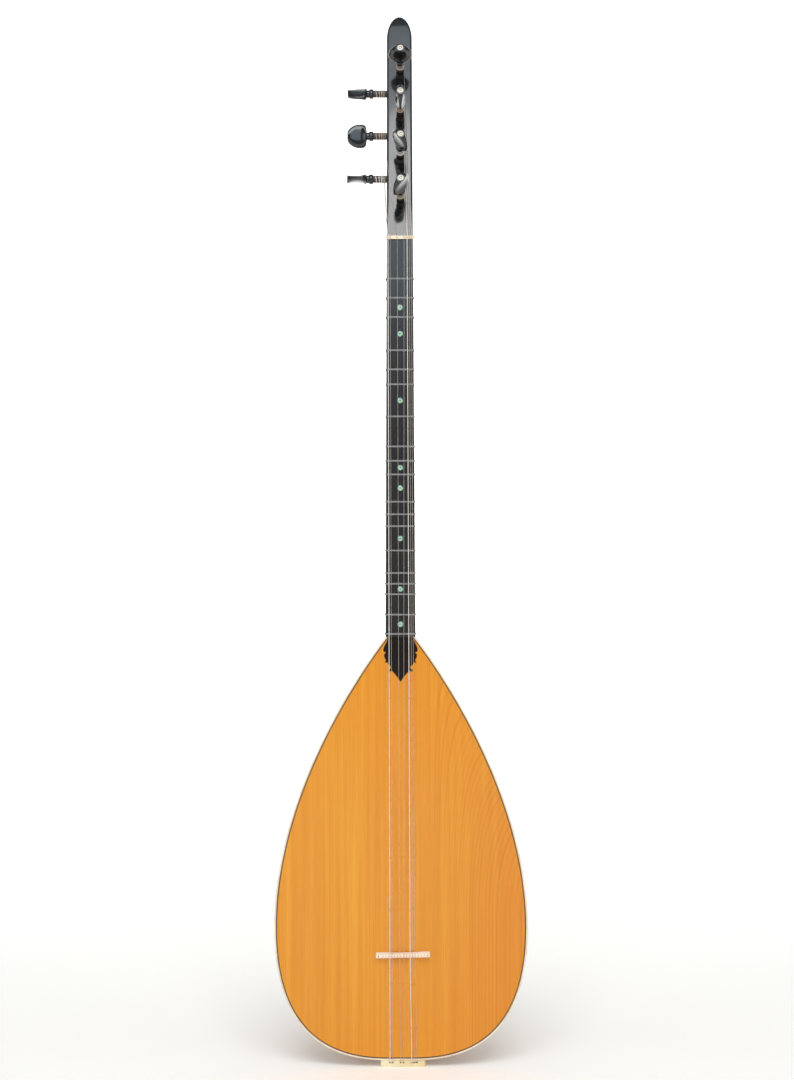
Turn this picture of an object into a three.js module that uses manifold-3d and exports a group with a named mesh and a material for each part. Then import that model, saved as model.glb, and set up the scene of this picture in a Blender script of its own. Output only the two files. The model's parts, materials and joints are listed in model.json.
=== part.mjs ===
// Short-neck baglama (saz): stave-built bowl, tied frets, floating bridge and seven T-pegs.
// Units are millimetres. +Z runs up the neck, the soundboard faces -Y and +X is to its right.
// The origin is on the lower face of the tailpiece, the lowest point of the instrument.

import * as THREE from 'three';
import { mergeVertices } from 'three/addons/utils/BufferGeometryUtils.js';
import Module from 'manifold-3d';

const wasm = await Module();
wasm.setup();

// Play between neighbouring pieces.
const GAP = 0.3;

// Body outline, seen from the front. Handles are the lengths of the outline's curve handles.
const FACE_Y = -8.5;
const JOINT_Z = 426;
const JOINT_HALF = 15.2;
const WIDEST_Z = 138;
const WIDEST_HALF = 125.8;
const EDGE_BOTTOM_Z = 7;
const SHOULDER_LEAN = new THREE.Vector2(3.5, -5);
const SHOULDER_HANDLE = 149;
const FLANK_HANDLE = 140;
const TAIL_HANDLE = 28;
const EDGE_STEPS = 44;

// Soundboard and the two strips let into its edge.
const SOUNDBOARD_THICKNESS = 3;
const BINDING_WIDTH = 1.8;
const PURFLING_WIDTH = 1.2;
const INLAY_THICKNESS = 1.2;

// Bowl. The taper exponents shape its depth towards the neck and towards the tail.
const RIM_Y = FACE_Y + SOUNDBOARD_THICKNESS + GAP;
const BOWL_DEPTH = 202;
const BOWL_WALL = 3;
const SHOULDER_TAPER = 1.06;
const TAIL_TAPER = 1.2;
const STAVE_COUNT = 11;
const STAVE_STEPS = 21;
const STAVE_FACETS = 2;
const STAVE_END = 1.89;
const STAVE_EVENING = 0.12;
const SOUND_HOLE_RADIUS = 6;
// How far behind the rim the hole through the lowest part of the middle stave sits.
const SOUND_HOLE_DEPTH = 90;

// Blocks and braces inside the bowl.
const NECK_BLOCK = { halfWidth: 60, length: 55, depth: 120 };
const END_BLOCK = { halfWidth: 38, height: 24, depth: 42 };
const BRACES = { thickness: 7, depth: 12, heights: [230, 320], names: ['lower_brace', 'upper_brace'] };

// Neck, fingerboard and nut.
const SCALE_LENGTH = 706.8;
const NUT_Z = 822;
const NUT_THICKNESS = 3.3;
const NUT_HALF = 14.1;
const NUT_HEIGHT = 2.3;
const NECK_HALF_AT_JOINT = 14.8;
const NECK_HALF_AT_NUT = 13;
const NECK_DEPTH_AT_JOINT = 21;
const NECK_DEPTH_AT_NUT = 18.5;
const FINGERBOARD_THICKNESS = 3.5;
const NECK_TOP_Y = FACE_Y + FINGERBOARD_THICKNESS + GAP;
const NECK_FACETS = 10;

// Tied frets: pitch above the open string in cents, and the size of each binding of nylon line.
const FRET_CENTS = [
  103, 153, 205, 298, 354, 399, 500, 600, 650, 699,
  801, 850, 898, 1000, 1100, 1150, 1200, 1302, 1404,
];
const FRET_WIDTH = 1.8;
const FRET_THICKNESS = 0.6;

// Headstock, tilted back about the nut.
const HEADSTOCK_TILT = THREE.MathUtils.degToRad(20.5);
const HEADSTOCK_LENGTH = 260.5;
const HEADSTOCK_HALF = 13;
const HEADSTOCK_THICKNESS = 20;
const HEADSTOCK_BLEND = 42;
const HEADSTOCK_STEP = 1;
const FRONT_EDGE_RADIUS = 2.5;
const BACK_EDGE_RADIUS = 6;
const FOOT_FRONT_RADIUS = 0.6;
const FOOT_BACK_RADIUS = 12.5;

// The headstock's tip: its length, how far round its half ellipse runs, and how much its face and its
// back draw in.
const HEADSTOCK_TIP = 28;
const TIP_TURN = 0.47 * Math.PI;
const TIP_FACE_DROP = 3;
const TIP_BACK_DROP = 8;
const TIP_STEPS = 6;

// Pegs, measured from the wood that they leave.
const PEG_X = 0.8;
const PEG_SPACING = 50;
const FRONT_PEG_START = 44.5;
const SIDE_PEG_START = 72;
const SIDE_PEG_DEPTH = 10;
const PEG_FACETS = 12;
const PEG_RADIUS = 3.5;
const PEG_END_RADIUS = 3;
const PEG_HOLE_FACETS = 16;
const PEG_HOLE_LENGTH = 80;
// How far a peg's thin end stops short of the far side.
const PEG_END_DEPTH = 0.5;

// How far each peg is turned, from the lowest up: front pegs from level and side pegs from upright.
const FRONT_PEG_TURNS = [52, -55, 90, 0];
const SIDE_PEG_TURNS = [90, 0, 57];

// Bridge and tailpiece, both set slightly to the right of the centre line.
const OFFSET_X = 1.9;
const BRIDGE_Z = 111.5;
const BRIDGE = { halfWidth: 26.8, turn: -1, corner: 1.5 };
const BRIDGE_ARCH = { halfWidth: 15, height: 2.6 };
// Height above the soundboard, how much shorter each half is there, and half thickness.
const BRIDGE_PROFILE = [[0, 0, 2.7], [1.6, 0, 2.7], [4.6, 1, 1.5], [6.4, 1.6, 1.1]];
const TAILPIECE = { halfWidth: 22.3, height: 6.7, halfDepth: 8, corner: 2 };
const STRING_HOLE_Z = 4.6;
const STRING_HOLE_RADIUS = 0.9;

// Strings from the player's upper side to the lower: sideways place at the tailpiece, the bridge and
// the nut, and radius. Wound strings are the thick ones.
const PLAIN = 0.16;
const WOUND = 0.42;
const STRINGS = [
  { tail: -11, bridge: -11, nut: -11.7, radius: WOUND },
  { tail: -8.5, bridge: -8.6, nut: -9.6, radius: PLAIN },
  { tail: -0.7, bridge: -1.5, nut: -2.5, radius: PLAIN },
  { tail: 2.3, bridge: 2.6, nut: 4.2, radius: PLAIN },
  { tail: 10.4, bridge: 8.9, nut: 7.2, radius: WOUND },
  { tail: 13.1, bridge: 11.5, nut: 9.3, radius: PLAIN },
  { tail: 15.6, bridge: 13.5, nut: 11.3, radius: PLAIN },
];
const STRING_HEIGHT_AT_BRIDGE = 7.2;
const STRING_HEIGHT_AT_NUT = 1.9;
const STRING_FACETS = 6;
const STRING_BEND = 0.6;
const STRING_PLAY = 0.2;
const BRIDGE_REST = 4;
// Distances up the headstock at which strings 1 to 3 pass over its left edge.
const EDGE_CROSSINGS = [22, 34, 95];
// Distances from the wood at which the strings meet their pegs' shafts.
const SIDE_WINDING_START = 2.5;
const FRONT_WINDING_START = 4;

const finishes = {
  spruce: { color: 0xe39b45, roughness: 0.35 },
  walnut: { color: 0x5a2f1a, roughness: 0.3 },
  maple: { color: 0xd8bd90, roughness: 0.5 },
  ebony: { color: 0x17120f, roughness: 0.25 },
  lacquer: { color: 0x101114, roughness: 0.12 },
  bone: { color: 0xefe3c8, roughness: 0.4 },
  boxwood: { color: 0xe6d3a3, roughness: 0.5 },
  rosewood: { color: 0x3a1f14, roughness: 0.4 },
  nylon: { color: 0xb9b7ac, roughness: 0.4 },
  steel: { color: 0xc9cbd0, roughness: 0.25, metalness: 1 },
};
const materials = Object.fromEntries(
  Object.entries(finishes).map(([name, look]) => [name, new THREE.MeshStandardMaterial(look)]),
);

const instrument = new THREE.Group();
const headstockFrame = new THREE.Group();
headstockFrame.position.set(0, FACE_Y + HEADSTOCK_STEP, NUT_Z);
headstockFrame.rotation.x = -HEADSTOCK_TILT;
headstockFrame.updateMatrixWorld();
instrument.add(headstockFrame);

function addPiece(name, geometry, finish, parent = instrument) {
  const mesh = new THREE.Mesh(geometry, materials[finish]);
  mesh.name = name;
  parent.add(mesh);
  return mesh;
}

// ---- closed bodies ----

// Triangles that close a ring of points, facing the way the ring turns anticlockwise.
function ringCap(ring) {
  const normal = new THREE.Vector3();
  ring.forEach((point, index) => {
    normal.add(point.clone().cross(ring[(index + 1) % ring.length]));
  });
  normal.normalize();
  const across = ring[1].clone().sub(ring[0]).normalize();
  const upward = normal.clone().cross(across);
  const flat = ring.map((point) => new THREE.Vector2(point.dot(across), point.dot(upward)));
  return THREE.ShapeUtils.triangulateShape(flat, []);
}

// One closed body through rings that all have the same number of points.
function loft(rings) {
  const count = rings[0].length;
  const triangles = [];
  for (let level = 0; level < rings.length - 1; level += 1) {
    for (let index = 0; index < count; index += 1) {
      const a = level * count + index;
      const b = level * count + ((index + 1) % count);
      triangles.push([a, b, b + count], [a, b + count, a + count]);
    }
  }
  const last = (rings.length - 1) * count;
  ringCap(rings[0]).forEach(([a, b, c]) => triangles.push([c, b, a]));
  ringCap(rings.at(-1)).forEach(([a, b, c]) => triangles.push([a + last, b + last, c + last]));

  const points = rings.flat();
  const volume = triangles.reduce(
    (sum, [a, b, c]) => sum + points[a].dot(points[b].clone().cross(points[c])),
    0,
  );
  const geometry = new THREE.BufferGeometry().setFromPoints(points);
  geometry.setIndex(triangles.map((face) => (volume < 0 ? face.toReversed() : face)).flat());
  return geometry;
}

function toSolid(geometry) {
  const bare = geometry.clone();
  bare.deleteAttribute('normal');
  bare.deleteAttribute('uv');
  const merged = mergeVertices(bare);
  return new wasm.Manifold(new wasm.Mesh({
    numProp: 3,
    vertProperties: new Float32Array(merged.attributes.position.array),
    triVerts: new Uint32Array(merged.index.array),
  }));
}

function toGeometry(solid) {
  const mesh = solid.getMesh();
  const geometry = new THREE.BufferGeometry();
  geometry.setAttribute('position', new THREE.BufferAttribute(mesh.vertProperties, 3));
  geometry.setIndex(new THREE.BufferAttribute(mesh.triVerts, 1));
  return geometry;
}

function cut(geometry, tools) {
  return toGeometry(tools.reduce((solid, tool) => solid.subtract(toSolid(tool)), toSolid(geometry)));
}

function boxBetween(low, high) {
  const size = high.clone().sub(low);
  return new THREE.BoxGeometry(size.x, size.y, size.z).translate(
    low.x + size.x / 2,
    low.y + size.y / 2,
    low.z + size.z / 2,
  );
}

// A plate drawn in the X-Z plane, with its front at frontY.
function plate(shape, frontY, thickness) {
  return new THREE.ExtrudeGeometry(shape, { depth: thickness, bevelEnabled: false })
    .rotateX(Math.PI / 2)
    .translate(0, frontY + thickness, 0);
}

// ---- body outline ----

const shoulderEdge = new THREE.CubicBezierCurve(
  new THREE.Vector2(JOINT_HALF, JOINT_Z),
  new THREE.Vector2(JOINT_HALF, JOINT_Z).add(SHOULDER_LEAN),
  new THREE.Vector2(WIDEST_HALF, WIDEST_Z + SHOULDER_HANDLE),
  new THREE.Vector2(WIDEST_HALF, WIDEST_Z),
);
const flankEdge = new THREE.CubicBezierCurve(
  new THREE.Vector2(WIDEST_HALF, WIDEST_Z),
  new THREE.Vector2(WIDEST_HALF, WIDEST_Z - FLANK_HANDLE),
  new THREE.Vector2(TAIL_HANDLE, EDGE_BOTTOM_Z),
  new THREE.Vector2(0, EDGE_BOTTOM_Z),
);

// The right edge runs from the neck joint (0) past the widest place (1) to the tail (2).
function edgePoint(place) {
  return place <= 1 ? shoulderEdge.getPoint(place) : flankEdge.getPoint(place - 1);
}

function insetEdgePoint(place, inset) {
  const tangent = place <= 1 ? shoulderEdge.getTangent(place) : flankEdge.getTangent(place - 1);
  const inward = new THREE.Vector2(tangent.y, -tangent.x);
  return edgePoint(place).add(inward.multiplyScalar(inset));
}

// The whole edge from the right of the joint, round the tail, to the left of the joint.
function bodyOutline(inset) {
  const right = [];
  for (let step = 0; step <= EDGE_STEPS; step += 1) {
    right.push(insetEdgePoint((2 * step) / EDGE_STEPS, inset));
  }
  const [first, second] = right;
  const reach = (JOINT_Z - first.y) / (first.y - second.y);
  first.add(first.clone().sub(second).multiplyScalar(reach));
  const left = right.slice(0, -1).map((point) => new THREE.Vector2(-point.x, point.y)).reverse();
  return [...right, ...left];
}

function edgeStrip(outerInset, innerInset) {
  return new THREE.Shape([...bodyOutline(outerInset), ...bodyOutline(innerInset).reverse()]);
}

// ---- bowl ----

function bowlDepth(place) {
  const taper = place <= 1 ? SHOULDER_TAPER : TAIL_TAPER;
  return BOWL_DEPTH * (edgePoint(place).x / WIDEST_HALF) ** taper;
}

function bowlPoint(place, angle) {
  const edge = edgePoint(place);
  return new THREE.Vector3(
    edge.x * Math.cos(angle),
    RIM_Y + bowlDepth(place) * Math.sin(angle),
    edge.y,
  );
}

function insetBowlPoint(place, angle, inset) {
  const nudge = 1e-4;
  const along = bowlPoint(Math.min(place + nudge, 2), angle)
    .sub(bowlPoint(Math.max(place - nudge, 0), angle));
  const around = bowlPoint(place, angle + nudge).sub(bowlPoint(place, angle - nudge));
  const outward = along.cross(around).normalize();
  return bowlPoint(place, angle).sub(outward.multiplyScalar(inset));
}

// Stave seams are spread so that the staves are about equally wide at the widest place.
function seamAngle(seam) {
  const even = (Math.PI * seam) / STAVE_COUNT;
  return even - STAVE_EVENING * Math.sin(2 * even);
}

function stave(index) {
  const rings = [];
  for (let step = 0; step <= STAVE_STEPS; step += 1) {
    const place = (STAVE_END * step) / STAVE_STEPS;
    const outer = [];
    const inner = [];
    for (let facet = 0; facet <= STAVE_FACETS; facet += 1) {
      const side = 1 - (2 * facet) / STAVE_FACETS;
      const seam = seamAngle(index + facet / STAVE_FACETS);
      const speed = Math.hypot(
        edgePoint(place).x * Math.sin(seam),
        bowlDepth(place) * Math.cos(seam),
      );
      const angle = seam + (side * GAP) / 2 / speed;
      outer.push(insetBowlPoint(place, angle, 0));
      inner.push(insetBowlPoint(place, angle, BOWL_WALL));
    }
    rings.push([...outer, ...inner.reverse()]);
  }
  return loft(rings);
}

// The space inside the staves, less the play that its blocks and braces keep.
function bowlInside() {
  const turns = STAVE_COUNT + 5;
  const rings = [];
  for (let step = 0; step <= STAVE_STEPS; step += 1) {
    const place = (STAVE_END * step) / STAVE_STEPS;
    const ring = [];
    for (let turn = 0; turn <= turns; turn += 1) {
      ring.push(insetBowlPoint(place, (Math.PI * turn) / turns, BOWL_WALL + 2 * GAP));
    }
    rings.push(ring);
  }
  return toSolid(loft(rings));
}

const middleStave = (STAVE_COUNT - 1) / 2;
const soundHole = new THREE.CylinderGeometry(SOUND_HOLE_RADIUS, SOUND_HOLE_RADIUS, 60, 24)
  .rotateX(Math.PI / 2)
  .translate(0, RIM_Y + SOUND_HOLE_DEPTH, 0);
for (let index = 0; index < STAVE_COUNT; index += 1) {
  const name = `stave_${String(index + 1).padStart(2, '0')}`;
  const whole = stave(index);
  addPiece(name, index === middleStave ? cut(whole, [soundHole]) : whole, 'walnut');
}

const inside = bowlInside();
const neckBlockRoom = boxBetween(
  new THREE.Vector3(-NECK_BLOCK.halfWidth, RIM_Y, JOINT_Z - NECK_BLOCK.length),
  new THREE.Vector3(NECK_BLOCK.halfWidth, RIM_Y + NECK_BLOCK.depth, JOINT_Z),
);
addPiece('neck_block', toGeometry(inside.intersect(toSolid(neckBlockRoom))), 'maple');

const endBlockRoom = boxBetween(
  new THREE.Vector3(-END_BLOCK.halfWidth, RIM_Y, 0),
  new THREE.Vector3(END_BLOCK.halfWidth, RIM_Y + END_BLOCK.depth, EDGE_BOTTOM_Z + END_BLOCK.height),
);
addPiece('end_block', toGeometry(inside.intersect(toSolid(endBlockRoom))), 'maple');

BRACES.heights.forEach((height, index) => {
  const room = boxBetween(
    new THREE.Vector3(-WIDEST_HALF, RIM_Y, height - BRACES.thickness / 2),
    new THREE.Vector3(WIDEST_HALF, RIM_Y + BRACES.depth, height + BRACES.thickness / 2),
  );
  addPiece(BRACES.names[index], toGeometry(inside.intersect(toSolid(room))), 'maple');
});

// ---- soundboard, edge strips and inlay ----

// Right half of the leaf inlay at the neck joint: sideways place and distance below the joint.
const LEAF_EDGE = [[9.8, 0.3], [13.6, 7], [17.2, 12.4], [14.9, 22.3], [11.4, 31], [4, 38.5], [0, 44.3]];
const LEAF_CENTRE_DOWN = 18;
const POCKET_OVERRUN = 1;

function leafShape(grow) {
  const centre = new THREE.Vector2(0, JOINT_Z - LEAF_CENTRE_DOWN);
  const right = LEAF_EDGE.map(([x, down]) => {
    const point = new THREE.Vector2(x, JOINT_Z - down);
    const outward = point.clone().sub(centre).normalize();
    return point.add(outward.multiplyScalar(grow));
  });
  const left = right.slice(0, -1).map((point) => new THREE.Vector2(-point.x, point.y)).reverse();
  return new THREE.Shape([...right, ...left]);
}

const boardInset = BINDING_WIDTH + PURFLING_WIDTH + 2 * GAP;
const board = plate(new THREE.Shape(bodyOutline(boardInset)), FACE_Y, SOUNDBOARD_THICKNESS);
const inlayPocket = plate(
  leafShape(2 * GAP),
  FACE_Y - POCKET_OVERRUN,
  POCKET_OVERRUN + INLAY_THICKNESS + GAP,
);
addPiece('soundboard', cut(board, [inlayPocket]), 'spruce');
addPiece('inlay_leaf', plate(leafShape(0), FACE_Y, INLAY_THICKNESS), 'ebony');
addPiece('binding', plate(edgeStrip(0, BINDING_WIDTH), FACE_Y, SOUNDBOARD_THICKNESS), 'bone');
addPiece(
  'purfling',
  plate(edgeStrip(BINDING_WIDTH + GAP, BINDING_WIDTH + GAP + PURFLING_WIDTH), FACE_Y, SOUNDBOARD_THICKNESS),
  'rosewood',
);

// ---- neck, fingerboard, frets and nut ----

function alongNeck(z, atJoint, atNut) {
  return THREE.MathUtils.mapLinear(z, JOINT_Z, NUT_Z, atJoint, atNut);
}

// The rounded back of the neck as points in the X-Y plane, from right to left.
function neckBack(z, grow) {
  const half = alongNeck(z, NECK_HALF_AT_JOINT, NECK_HALF_AT_NUT) + grow;
  const depth = alongNeck(z, NECK_DEPTH_AT_JOINT, NECK_DEPTH_AT_NUT) + grow;
  const points = [];
  for (let step = 0; step <= NECK_FACETS; step += 1) {
    const angle = (Math.PI * step) / NECK_FACETS;
    points.push(new THREE.Vector2(half * Math.cos(angle), NECK_TOP_Y + depth * Math.sin(angle)));
  }
  return points;
}

// Neck and fingerboard together, as the frets go round them.
function neckOutline(z, grow) {
  const back = neckBack(z, grow);
  const front = FACE_Y - grow;
  return [new THREE.Vector2(back[0].x, front), ...back, new THREE.Vector2(back.at(-1).x, front)];
}

function neckRing(z) {
  return neckBack(z, 0).map((point) => new THREE.Vector3(point.x, point.y, z));
}

const neckFoot = JOINT_Z + GAP;
const neckHead = NUT_Z + NUT_THICKNESS / 2;
addPiece('neck', loft([neckRing(neckFoot), neckRing(neckHead)]), 'rosewood');

function fingerboardRing(z) {
  const half = alongNeck(z, NECK_HALF_AT_JOINT, NECK_HALF_AT_NUT);
  const back = FACE_Y + FINGERBOARD_THICKNESS;
  return [[half, FACE_Y], [half, back], [-half, back], [-half, FACE_Y]]
    .map(([x, y]) => new THREE.Vector3(x, y, z));
}
const fingerboardHead = NUT_Z - NUT_THICKNESS / 2 - GAP;
addPiece('fingerboard', loft([fingerboardRing(neckFoot), fingerboardRing(fingerboardHead)]), 'ebony');

FRET_CENTS.forEach((cents, index) => {
  const z = NUT_Z - SCALE_LENGTH * (1 - 2 ** (-cents / 1200));
  const shape = new THREE.Shape(neckOutline(z, GAP + FRET_THICKNESS));
  shape.holes.push(new THREE.Path(neckOutline(z, GAP)));
  const ring = new THREE.ExtrudeGeometry(shape, { depth: FRET_WIDTH, bevelEnabled: false })
    .translate(0, 0, z - FRET_WIDTH / 2);
  addPiece(`fret_${String(index + 1).padStart(2, '0')}`, ring, 'nylon');
});

function nutShape() {
  const top = FACE_Y - NUT_HEIGHT;
  const shape = new THREE.Shape();
  shape.moveTo(-NUT_HALF, NECK_TOP_Y - GAP);
  shape.lineTo(-NUT_HALF, top);
  STRINGS.forEach(({ nut, radius }) => {
    const half = radius + GAP;
    const floor = FACE_Y - STRING_HEIGHT_AT_NUT + half;
    shape.lineTo(nut - half, top);
    shape.lineTo(nut - half, floor);
    shape.lineTo(nut + half, floor);
    shape.lineTo(nut + half, top);
  });
  shape.lineTo(NUT_HALF, top);
  shape.lineTo(NUT_HALF, NECK_TOP_Y - GAP);
  return shape;
}
addPiece(
  'nut',
  new THREE.ExtrudeGeometry(nutShape(), { depth: NUT_THICKNESS, bevelEnabled: false })
    .translate(0, 0, NUT_Z - NUT_THICKNESS / 2),
  'bone',
);

// ---- headstock: x across, y into the wood, z up the headstock from the nut ----

// A rectangle with rounded front and back edges, from the front right corner round the back.
function headstockSection({ half, front, back, frontRadius, backRadius }) {
  const corners = [
    [half - frontRadius, front + frontRadius, frontRadius, -90],
    [half - backRadius, back - backRadius, backRadius, 0],
    [backRadius - half, back - backRadius, backRadius, 90],
    [frontRadius - half, front + frontRadius, frontRadius, 180],
  ];
  const points = [];
  corners.forEach(([x, y, radius, startAngle]) => {
    for (let step = 0; step <= 3; step += 1) {
      const angle = THREE.MathUtils.degToRad(startAngle + 30 * step);
      points.push([x + radius * Math.cos(angle), y + radius * Math.sin(angle)]);
    }
  });
  return points;
}

const plainSection = {
  half: HEADSTOCK_HALF,
  front: 0,
  back: HEADSTOCK_THICKNESS,
  frontRadius: FRONT_EDGE_RADIUS,
  backRadius: BACK_EDGE_RADIUS,
};

function headstockBody() {
  const footSection = {
    ...plainSection,
    frontRadius: FOOT_FRONT_RADIUS,
    backRadius: FOOT_BACK_RADIUS,
  };
  const footHeight = NUT_THICKNESS / 2 + GAP;
  const rings = [
    headstockSection(footSection).map(([x, y]) => {
      const z = (footHeight + y * Math.sin(HEADSTOCK_TILT)) / Math.cos(HEADSTOCK_TILT);
      return new THREE.Vector3(x, y, z);
    }),
    headstockSection(plainSection).map(([x, y]) => new THREE.Vector3(x, y, HEADSTOCK_BLEND)),
  ];
  for (let step = 0; step <= TIP_STEPS; step += 1) {
    const angle = (TIP_TURN * step) / TIP_STEPS;
    const narrowing = Math.cos(angle);
    const half = HEADSTOCK_HALF * narrowing;
    const section = headstockSection({
      half,
      front: TIP_FACE_DROP * (1 - narrowing),
      back: HEADSTOCK_THICKNESS - TIP_BACK_DROP * (1 - narrowing),
      frontRadius: Math.min(FRONT_EDGE_RADIUS, 0.8 * half),
      backRadius: Math.min(BACK_EDGE_RADIUS, 0.8 * half),
    });
    const z = HEADSTOCK_LENGTH - HEADSTOCK_TIP * (1 - Math.sin(angle) / Math.sin(TIP_TURN));
    rings.push(section.map(([x, y]) => new THREE.Vector3(x, y, z)));
  }
  return loft(rings);
}

// Peg holes clear the shafts at every angle of turn.
const pegHoleRadius = (PEG_RADIUS + GAP) / Math.cos(Math.PI / PEG_HOLE_FACETS);
function pegHole() {
  return new THREE.CylinderGeometry(pegHoleRadius, pegHoleRadius, PEG_HOLE_LENGTH, PEG_HOLE_FACETS);
}

function frontPegHeight(index) {
  return FRONT_PEG_START + index * PEG_SPACING;
}

function sidePegHeight(index) {
  return SIDE_PEG_START + index * PEG_SPACING;
}

const frontPegHoles = FRONT_PEG_TURNS.map((turn, index) => (
  pegHole().translate(PEG_X, 0, frontPegHeight(index))
));
const sidePegHoles = SIDE_PEG_TURNS.map((turn, index) => (
  pegHole().rotateZ(Math.PI / 2).translate(0, SIDE_PEG_DEPTH, sidePegHeight(index))
));
const pegHoles = [...frontPegHoles, ...sidePegHoles];
addPiece('headstock', cut(headstockBody(), pegHoles), 'lacquer', headstockFrame);

// ---- pegs: the shaft runs along +Z out of the wood at z = 0, the head's wings along X ----

// Distance from the wood, half width across the wings, half thickness.
const PEG_PROFILE = [
  [0, PEG_RADIUS, PEG_RADIUS],
  [13.9, PEG_RADIUS, PEG_RADIUS],
  [14, 4.9, 4.9],
  [17.8, 4.9, 4.9],
  [18, 3.8, 3.8],
  [20.4, 3.8, 3.8],
  [20.7, 8.4, 5.1],
  [22, 11, 4.7],
  [24.5, 11.9, 3.4],
  [28, 12, 2.8],
  [32, 11.3, 2.8],
  [36, 9.3, 3.2],
  [38.5, 7, 3.9],
  [40, 4.4, 4.3],
];

function peg(insideLength) {
  const profile = [[-insideLength, PEG_END_RADIUS, PEG_END_RADIUS], ...PEG_PROFILE];
  return loft(profile.map(([z, halfWidth, halfThickness]) => {
    const ring = [];
    for (let step = 0; step < PEG_FACETS; step += 1) {
      const angle = (2 * Math.PI * step) / PEG_FACETS;
      ring.push(new THREE.Vector3(halfWidth * Math.cos(angle), halfThickness * Math.sin(angle), z));
    }
    return ring;
  }));
}

FRONT_PEG_TURNS.forEach((turn, index) => {
  const shape = peg(HEADSTOCK_THICKNESS - PEG_END_DEPTH);
  const mesh = addPiece(`peg_front_${index + 1}`, shape, 'ebony', headstockFrame);
  mesh.position.set(PEG_X, 0, frontPegHeight(index));
  mesh.rotation.set(Math.PI / 2, 0, THREE.MathUtils.degToRad(turn));
});
SIDE_PEG_TURNS.forEach((turn, index) => {
  const shape = peg(2 * HEADSTOCK_HALF - PEG_END_DEPTH);
  const mesh = addPiece(`peg_side_${index + 1}`, shape, 'ebony', headstockFrame);
  mesh.position.set(-HEADSTOCK_HALF, SIDE_PEG_DEPTH, sidePegHeight(index));
  mesh.rotation.set(0, -Math.PI / 2, THREE.MathUtils.degToRad(turn) - HEADSTOCK_TILT);
});

// ---- bridge and tailpiece ----

function bridgeBody() {
  const rings = BRIDGE_PROFILE.map(([height, drawnIn, halfThickness]) => {
    const halfWidth = BRIDGE.halfWidth - drawnIn;
    const slope = Math.min(BRIDGE.corner, halfThickness);
    return [
      [halfWidth, -halfThickness + slope / 2], [halfWidth, halfThickness - slope / 2],
      [halfWidth - slope, halfThickness], [slope - halfWidth, halfThickness],
      [-halfWidth, halfThickness - slope / 2], [-halfWidth, -halfThickness + slope / 2],
      [slope - halfWidth, -halfThickness], [halfWidth - slope, -halfThickness],
    ].map(([x, z]) => new THREE.Vector3(x, -height, z));
  });
  const arch = new THREE.CylinderGeometry(1, 1, 20, 16)
    .rotateX(Math.PI / 2)
    .scale(BRIDGE_ARCH.halfWidth, BRIDGE_ARCH.height, 1);
  return cut(loft(rings), [arch]);
}
const bridge = addPiece('bridge', bridgeBody(), 'boxwood');
bridge.position.set(OFFSET_X, FACE_Y - GAP, BRIDGE_Z);
bridge.rotation.y = THREE.MathUtils.degToRad(BRIDGE.turn);

function tailpieceBody() {
  const { halfWidth, halfDepth, corner, height } = TAILPIECE;
  const shape = new THREE.Shape();
  shape.moveTo(OFFSET_X + halfWidth, halfDepth);
  shape.lineTo(OFFSET_X - halfWidth, halfDepth);
  shape.absarc(OFFSET_X - halfWidth + corner, corner - halfDepth, corner, Math.PI, 1.5 * Math.PI);
  shape.absarc(OFFSET_X + halfWidth - corner, corner - halfDepth, corner, -Math.PI / 2, 0);
  const block = new THREE.ExtrudeGeometry(
    shape,
    { depth: height, bevelEnabled: false, curveSegments: 3 },
  );
  const holes = STRINGS.map(({ tail }) => (
    new THREE.CylinderGeometry(STRING_HOLE_RADIUS, STRING_HOLE_RADIUS, 4 * halfDepth, 10)
      .translate(tail, 0, STRING_HOLE_Z)
  ));
  return cut(block, holes);
}
addPiece('tailpiece', tailpieceBody(), 'boxwood');

// ---- strings ----

// A route of straight stretches whose sections stand at its own points.
class StringRoute extends THREE.Curve {
  constructor(points) {
    super();
    this.points = points;
  }

  getPoint(place) {
    const stretch = place * (this.points.length - 1);
    const index = Math.min(Math.floor(stretch), this.points.length - 2);
    return this.points[index].clone().lerp(this.points[index + 1], stretch - index);
  }

  getTangent(place) {
    const index = Math.round(place * (this.points.length - 1));
    const before = this.points[Math.max(index - 1, 0)];
    const here = this.points[index];
    const after = this.points[Math.min(index + 1, this.points.length - 1)];
    const arriving = here.clone().sub(before).normalize();
    const leaving = after.clone().sub(here).normalize();
    return arriving.add(leaving).normalize();
  }

  getPointAt(place) {
    return this.getPoint(place);
  }

  getTangentAt(place) {
    return this.getTangent(place);
  }
}

function onHeadstock(x, out, along) {
  return headstockFrame.localToWorld(new THREE.Vector3(x, -out, along));
}

// The last stretch of a string: strings 1 to 3 pass over the left edge to the side pegs, and
// strings 4 to 7 run straight to the right of the front pegs' shafts.
function headEnd(index, radius) {
  const reach = PEG_RADIUS + GAP + radius;
  const sidePegs = SIDE_PEG_TURNS.length;
  if (index < sidePegs) {
    const edge = -HEADSTOCK_HALF - STRING_BEND;
    const shaft = -HEADSTOCK_HALF - SIDE_WINDING_START;
    return [
      onHeadstock(edge, -STRING_PLAY, EDGE_CROSSINGS[index]),
      onHeadstock(shaft, reach - SIDE_PEG_DEPTH, sidePegHeight(index)),
    ];
  }
  return [onHeadstock(PEG_X + reach, FRONT_WINDING_START, frontPegHeight(index - sidePegs))];
}

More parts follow.
